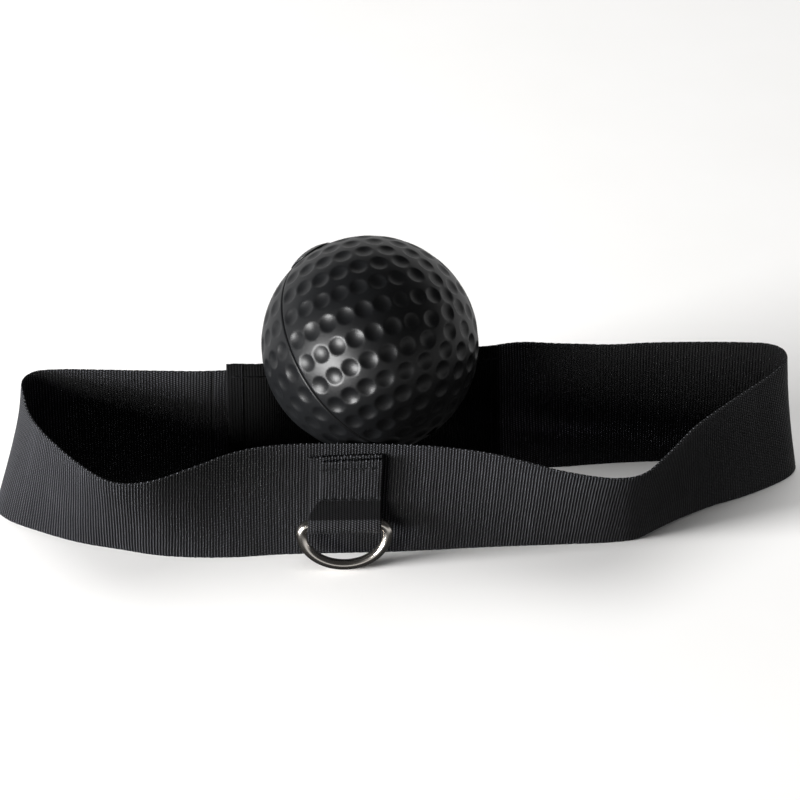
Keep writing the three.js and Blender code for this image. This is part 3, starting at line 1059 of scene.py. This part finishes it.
def dimple_centres(radius, sign, settings, turn):
    """Points on the ball where one moulding's dimples lie: rings beside the parting line."""
    first = math.asin(sign * settings.parting_offset / radius) + settings.first_ring / radius
    rings = round((math.pi / 2 - first) / (settings.ring_pitch / radius))
    centres = []
    for ring in range(rings + 1):
        angle = first + ring * (math.pi / 2 - first) / rings
        around = 2 * math.pi * radius * math.cos(angle)
        count = 1 if ring == rings else max(1, round(around / settings.dimple_pitch))
        for k in range(count):
            phase = 2 * math.pi * k / count
            centres.append((radius * math.cos(angle) * math.cos(phase),
                            radius * math.cos(angle) * math.sin(phase),
                            sign * radius * math.sin(angle)))
    return np.array(centres) @ turn.T


def dimple_tree():
    """Presses a round dimple round every point of another object into a ball's skin, and a groove
    along its parting line."""
    number = "NodeSocketFloat"
    tree, given = new_tree(
        "mould_dimples", Centre=("NodeSocketVector", None), Dimples=("NodeSocketObject", None),
        Radius=(number, 0.0023), Depth=(number, 0.0005), Skin=(number, 0.0295),
        Parting=("NodeSocketVector", None), Offset=(number, 0.0), Groove=(number, 0.0003),
        Material=("NodeSocketMaterial", None))
    place = add_node(tree, "GeometryNodeInputPosition")
    info = add_node(tree, "GeometryNodeObjectInfo", {"Object": given["Dimples"]}, transform_space="RELATIVE")
    near = add_node(
        tree, "GeometryNodeProximity", {0: info.outputs["Geometry"], "Source Position": place},
        target_element="POINTS")
    share = add_node(tree, MATH, {0: near.outputs["Distance"], 1: given["Radius"]}, operation="DIVIDE")
    square = add_node(tree, MATH, {0: share, 1: 2.0}, operation="POWER")
    bowl = add_node(tree, MATH, {0: 1.0, 1: square}, operation="SUBTRACT", use_clamp=True)
    press = add_node(tree, MATH, {0: bowl, 1: given["Depth"]}, operation="MULTIPLY")
    from_centre = add_node(tree, VECTOR, {0: place, 1: given["Centre"]}, operation="SUBTRACT")
    height = add_node(tree, VECTOR, {0: from_centre, 1: given["Parting"]}, operation="DOT_PRODUCT")
    beside = add_node(tree, MATH, {0: height.outputs["Value"], 1: given["Offset"]}, operation="SUBTRACT")
    gap = add_node(tree, MATH, {0: beside}, operation="ABSOLUTE")
    lip = add_node(tree, MATH, {0: gap, 1: given["Groove"]}, operation="DIVIDE")
    wedge = add_node(tree, MATH, {0: 1.0, 1: lip}, operation="SUBTRACT", use_clamp=True)
    cut = add_node(tree, MATH, {0: wedge, 1: given["Groove"]}, operation="MULTIPLY")
    total = add_node(tree, MATH, {0: press, 1: cut}, operation="ADD")
    # the flat joint faces inside the ball stay where they are
    length = add_node(tree, VECTOR, {0: from_centre}, operation="LENGTH")
    limit = add_node(tree, MATH, {0: given["Skin"], 1: 0.995}, operation="MULTIPLY")
    skin = add_node(
        tree, "FunctionNodeCompare", {0: length.outputs["Value"], 1: limit},
        data_type="FLOAT", operation="GREATER_THAN")
    outward = add_node(tree, VECTOR, {0: from_centre}, operation="NORMALIZE")
    back = add_node(tree, MATH, {0: total, 1: -1.0}, operation="MULTIPLY")
    move = add_node(tree, VECTOR, {0: outward, "Scale": back}, operation="SCALE")
    pressed = add_node(
        tree, "GeometryNodeSetPosition",
        {"Geometry": given["Geometry"], "Selection": skin, "Offset": move})
    return finished_tree(tree, pressed, given)


def half_ball(name, centre, radius, sign, settings, turn, material):
    """One moulding's plain skin on a grid that follows the parting line, closed by a flat joint face."""
    joint = sign * settings.parting_offset + 0.02 * MM
    start = math.asin(joint / radius)
    rows = round(settings.segments * (math.pi / 2 - start) / (2 * math.pi))
    lip = np.array([0, 0.12, 0.24, 0.36]) * MM / radius  # finer rows form the parting groove
    angles = np.concatenate([start + lip, np.linspace(start + 0.5 * MM / radius, math.pi / 2, rows)[:-1]])
    flat = sign * joint
    outline = [(0, flat)] + [(radius * math.cos(start) * share, flat) for share in (0.25, 0.6)]
    outline += [(radius * math.cos(a), sign * radius * math.sin(a)) for a in angles]
    outline += [(0, sign * radius)]
    return turned_piece(name, outline, settings.segments, turn, centre, material)


def rod_mesh(name, centre, direction, radius, length, sides=64):
    """A plain round rod, used to cut the cord's hole."""
    ring = circle(sides) * radius
    ends = [np.column_stack([ring, np.full(sides, h)]) for h in (-length / 2, length / 2)]
    points = np.vstack(ends) @ upright(direction).T + centre
    mesh = bpy.data.meshes.new(name)
    mesh.from_pydata([tuple(p) for p in points], [], tube_faces(2, sides))
    return new_object(name, mesh)


def make_ball(settings):
    centre, radius = ball_fit()
    turn = upright(settings.parting_normal)
    foam = material_named("moulded_polyurethane_foam", moulded_foam, settings)
    bore = rod_mesh("cord_hole", centre, settings.cord_direction, settings.bore, 3 * radius)
    tree = dimple_tree()
    dimples = [dimple_centres(radius, sign, settings, turn) for sign in (1, -1)]
    cloud = point_cloud("dimple_centres", np.vstack(dimples) + centre)
    for sign, side in ((1, "right"), (-1, "left")):
        name = f"foam_{side}"
        piece = half_ball(name, centre, radius, sign, settings, turn, foam)
        run_tree(piece, tree, Centre=tuple(centre), Dimples=cloud, Radius=settings.dimple_radius,
                 Depth=settings.dimple_depth, Skin=radius, Parting=tuple(turn[:, 2]),
                 Offset=settings.parting_offset, Groove=settings.groove, Material=foam)
        cut = piece.modifiers.new("cord_hole", "BOOLEAN")
        cut.operation = "DIFFERENCE"
        cut.solver = "MANIFOLD"
        cut.object = bore
        piece = baked(piece, name, foam)
        finish_piece(piece, "ball", "ball_foam", f"ball_moulding_{side}")
    for helper in (cloud, bore):
        bpy.data.objects.remove(helper)


def make_stop(settings):
    """The button over the upper end of the cord's hole, turned about the cord's direction."""
    centre, radius = ball_fit()
    seat = radius + 0.12 * MM
    seat_height = lambda r: math.sqrt(seat**2 - r**2)
    rim = seat_height(STOP_RADIUS) + 0.35 * MM
    crown, foot = radius + 1.3 * MM, radius - STEM_LENGTH
    outline = [(0, foot), (STEM_RADIUS - 0.3 * MM, foot), (STEM_RADIUS, foot + 0.3 * MM)]
    outline += [(r, seat_height(r)) for r in np.linspace(STEM_RADIUS, STOP_RADIUS - 0.08 * MM, 12)]
    outline += [(STOP_RADIUS, seat_height(STOP_RADIUS) + 0.1 * MM), (STOP_RADIUS, rim - 0.06 * MM)]
    outline += [(STOP_RADIUS * s, rim + (crown - rim) * (1 - s**2.2)) for s in np.linspace(0.985, 0, 26)]
    plastic = material_named("moulded_abs", moulded_plastic)
    turn = upright(settings.cord_direction)
    piece = turned_piece("cord_stop_button", outline, 72, turn, centre, plastic)
    finish_piece(piece, "ball", "stop_plastic", "cord_stop")


# ---------------------------------------------------------------- stage


def area_light(name, place, aim, width, height, watts, glossy=True, diffuse=True):
    data = bpy.data.lights.new(name, "AREA")
    data.shape, data.size, data.size_y, data.energy = "RECTANGLE", width, height, watts
    light = new_object(name, data)
    light.visible_glossy, light.visible_diffuse = glossy, diffuse
    light.location = place
    light.rotation_euler = (Vector(aim) - Vector(place)).to_track_quat("-Z", "Y").to_euler()


def white_paper(settings):
    """Matt white paper floor: even, with the faintest mottling of the pulp."""
    material, tree, shader = new_material("matt_white_paper")
    place = add_node(tree, "ShaderNodeTexCoord").outputs["Object"]
    pulp = add_node(tree, NOISE, {"Vector": place, "Scale": 25.0})
    colour = add_node(
        tree, MIX, {"Factor": pulp, "A": linear(settings.floor_colour), "B": linear("#F7F6F5")},
        data_type="RGBA")
    fill(tree, shader, {"Base Color": colour.outputs[2], "Roughness": 0.9})
    return material


def studio_world():
    """Soft white surroundings: a bright horizon, brightest behind, darker overhead and in front."""
    world = bpy.data.worlds.new("soft_studio")
    bpy.context.scene.world = world
    world.use_nodes = True
    tree = world.node_tree
    tree.nodes.clear()
    way = add_node(tree, "ShaderNodeTexCoord").outputs["Generated"]
    parts = add_node(tree, "ShaderNodeSeparateXYZ", {0: way})
    steepness = add_node(tree, MATH, {0: parts.outputs["Z"]}, operation="ABSOLUTE")
    behind = add_node(tree, MATH, {0: parts.outputs["Y"], 1: 0.0}, operation="MAXIMUM")
    shade = add_node(tree, MATH, {0: behind, 1: -0.6, 2: steepness}, operation="MULTIPLY_ADD")
    ramp = add_node(
        tree, RANGE,
        {"Value": shade, "From Min": 0.0, "From Max": 0.3, "To Min": 0.7, "To Max": 0.03},
        interpolation_type="SMOOTHSTEP")
    back = add_node(tree, "ShaderNodeBackground", {"Color": linear("#FFFFFF"), "Strength": ramp})
    add_node(tree, "ShaderNodeOutputWorld", {"Surface": back})


def make_stage(settings):
    floor = new_piece(
        "paper_floor", [(-3, -3, 0), (3, -3, 0), (3, 3, 0), (-3, 3, 0)], [(0, 1, 2, 3)],
        white_paper(settings), smooth=False)
    # the paper throws no light back up, as if black card lay round the headband
    floor.visible_diffuse = floor.visible_glossy = False
    studio_world()
    aim = Vector(settings.aim)
    area_light("low_window", (-0.72, -0.8, 0.16), aim, 0.6, 0.4, 27, diffuse=False)
    area_light("side_key", (-1.2, -0.38, 0.13), aim, 0.4, 0.25, 100, glossy=False)
    area_light("overhead", (0.1, 0.35, 1.6), (0.0, 0.3, 0.0), 1.5, 1.5, 17, glossy=False)
    data = bpy.data.cameras.new("view")
    data.sensor_width = 36
    data.lens = data.sensor_width * settings.distance / settings.frame_width
    data.clip_start, data.clip_end = 0.01, 20
    camera = new_object("view", data)
    towards = Vector((0, -math.cos(settings.elevation), math.sin(settings.elevation)))
    camera.location = aim + towards * settings.distance
    camera.rotation_euler = (math.pi / 2 - settings.elevation, 0, 0)
    bpy.context.scene.camera = camera
    bpy.context.scene.view_settings.view_transform = "Standard"


# ---------------------------------------------------------------- add-on

GROUPS = {
    "headband_webbing": WebbingSettings,
    "headband_tape": TapeSettings,
    "headband_thread": ThreadSettings,
    "headband_ring": RingSettings,
    "headband_ball": BallSettings,
    "headband_stage": StageSettings,
}
OPERATORS = (
    HEADBAND_OT_webbing,
    HEADBAND_OT_tapes,
    HEADBAND_OT_stitches,
    HEADBAND_OT_tab,
    HEADBAND_OT_ring,
    HEADBAND_OT_ball,
    HEADBAND_OT_stage,
)
CLASSES = (*GROUPS.values(), *OPERATORS, HEADBAND_PT_build)


def register():
    for cls in CLASSES:
        bpy.utils.register_class(cls)
    for name, group in GROUPS.items():
        setattr(bpy.types.Scene, name, PointerProperty(type=group))


def unregister():
    for name in GROUPS:
        delattr(bpy.types.Scene, name)
    for cls in reversed(CLASSES):
        bpy.utils.unregister_class(cls)


def main():
    register()
    for operator in OPERATORS:
        category, name = operator.bl_idname.split(".")
        getattr(getattr(bpy.ops, category), name)()


if __name__ == "__main__":
    main()
